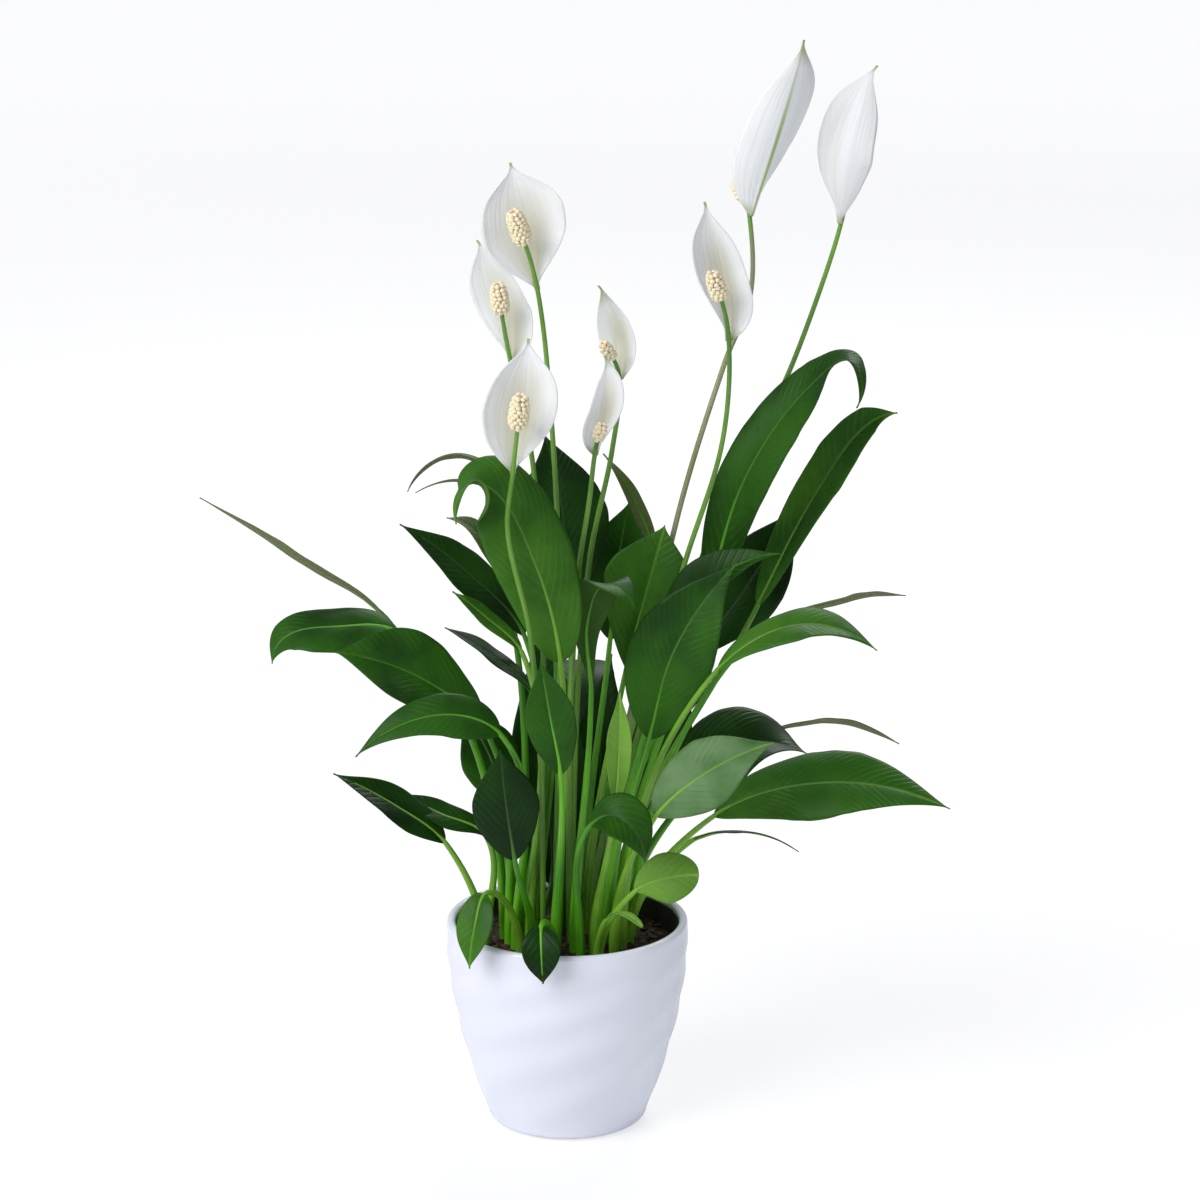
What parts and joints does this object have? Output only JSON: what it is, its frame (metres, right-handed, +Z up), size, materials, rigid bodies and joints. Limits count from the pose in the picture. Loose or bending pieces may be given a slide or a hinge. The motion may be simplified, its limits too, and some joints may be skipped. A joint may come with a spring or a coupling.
{
  "type": "potted peace lily",
  "caption": "Peace lily in bloom: slender stalks with white spathes over a clump of pointed, arching leaves, growing from peat in a round glazed pot with soft slanting ridges.",
  "frame": {"origin": "centre of the pot's flat underside, on the pot's axis", "axes": "+Z up along the pot's axis, +X to the right and +Y away from a viewer of the plant's front"},
  "size_m": [0.4296, 0.2615, 0.6281],
  "materials": {
    "glaze": "gloss",
    "peat": "matte",
    "leaf": "satin",
    "stalk": "satin",
    "spathe": "satin",
    "spadix": "matte"
  },
  "bodies": {
    "root": {"leaf_back_high": "leaf", "leaf_back_low_middle": "leaf", "leaf_back_low_right": "leaf", "leaf_back_pair": "leaf", "leaf_back_top": "leaf", "leaf_centre_broad": "leaf", "leaf_centre_folded": "leaf", "leaf_centre_pale": "leaf", "leaf_centre_right_broad": "leaf", "leaf_front_dark_small": "leaf", "leaf_front_pair": "leaf", "leaf_front_young": "leaf", "leaf_left_arching": "leaf", "leaf_left_back_pair": "leaf", "leaf_left_bright_tip": "leaf", "leaf_left_dark_pointed": "leaf", "leaf_left_low": "leaf", "leaf_left_mid": "leaf", "leaf_left_pair": "leaf", "leaf_left_round_dark": "leaf", "leaf_left_top_edge": "leaf", "leaf_left_upper": "leaf", "leaf_right_arching": "leaf", "leaf_right_broad_back": "leaf", "leaf_right_edge": "leaf", "leaf_right_inner": "leaf", "leaf_right_low_dark": "leaf", "leaf_right_low_edge": "leaf", "leaf_right_low_facing": "leaf", "leaf_right_low_long": "leaf", "leaf_right_tall": "leaf", "leaf_right_tall_back": "leaf", "leaf_rim_left": "leaf", "leaf_rim_right": "leaf", "pot": "glaze", "soil": "peat", "spadix_1": "spadix", "spadix_2": "spadix", "spadix_3": "spadix", "spadix_4": "spadix", "spadix_5": "spadix", "spadix_6": "spadix", "spadix_7": "spadix", "spadix_8": "spadix", "spathe_1": "spathe", "spathe_2": "spathe", "spathe_3": "spathe", "spathe_4": "spathe", "spathe_5": "spathe", "spathe_6": "spathe", "spathe_7": "spathe", "spathe_8": "spathe", "stalk_1": "stalk", "stalk_2": "stalk", "stalk_3": "stalk", "stalk_4": "stalk", "stalk_5": "stalk", "stalk_6": "stalk", "stalk_7": "stalk", "stalk_8": "stalk"}
  },
  "joints": []
}
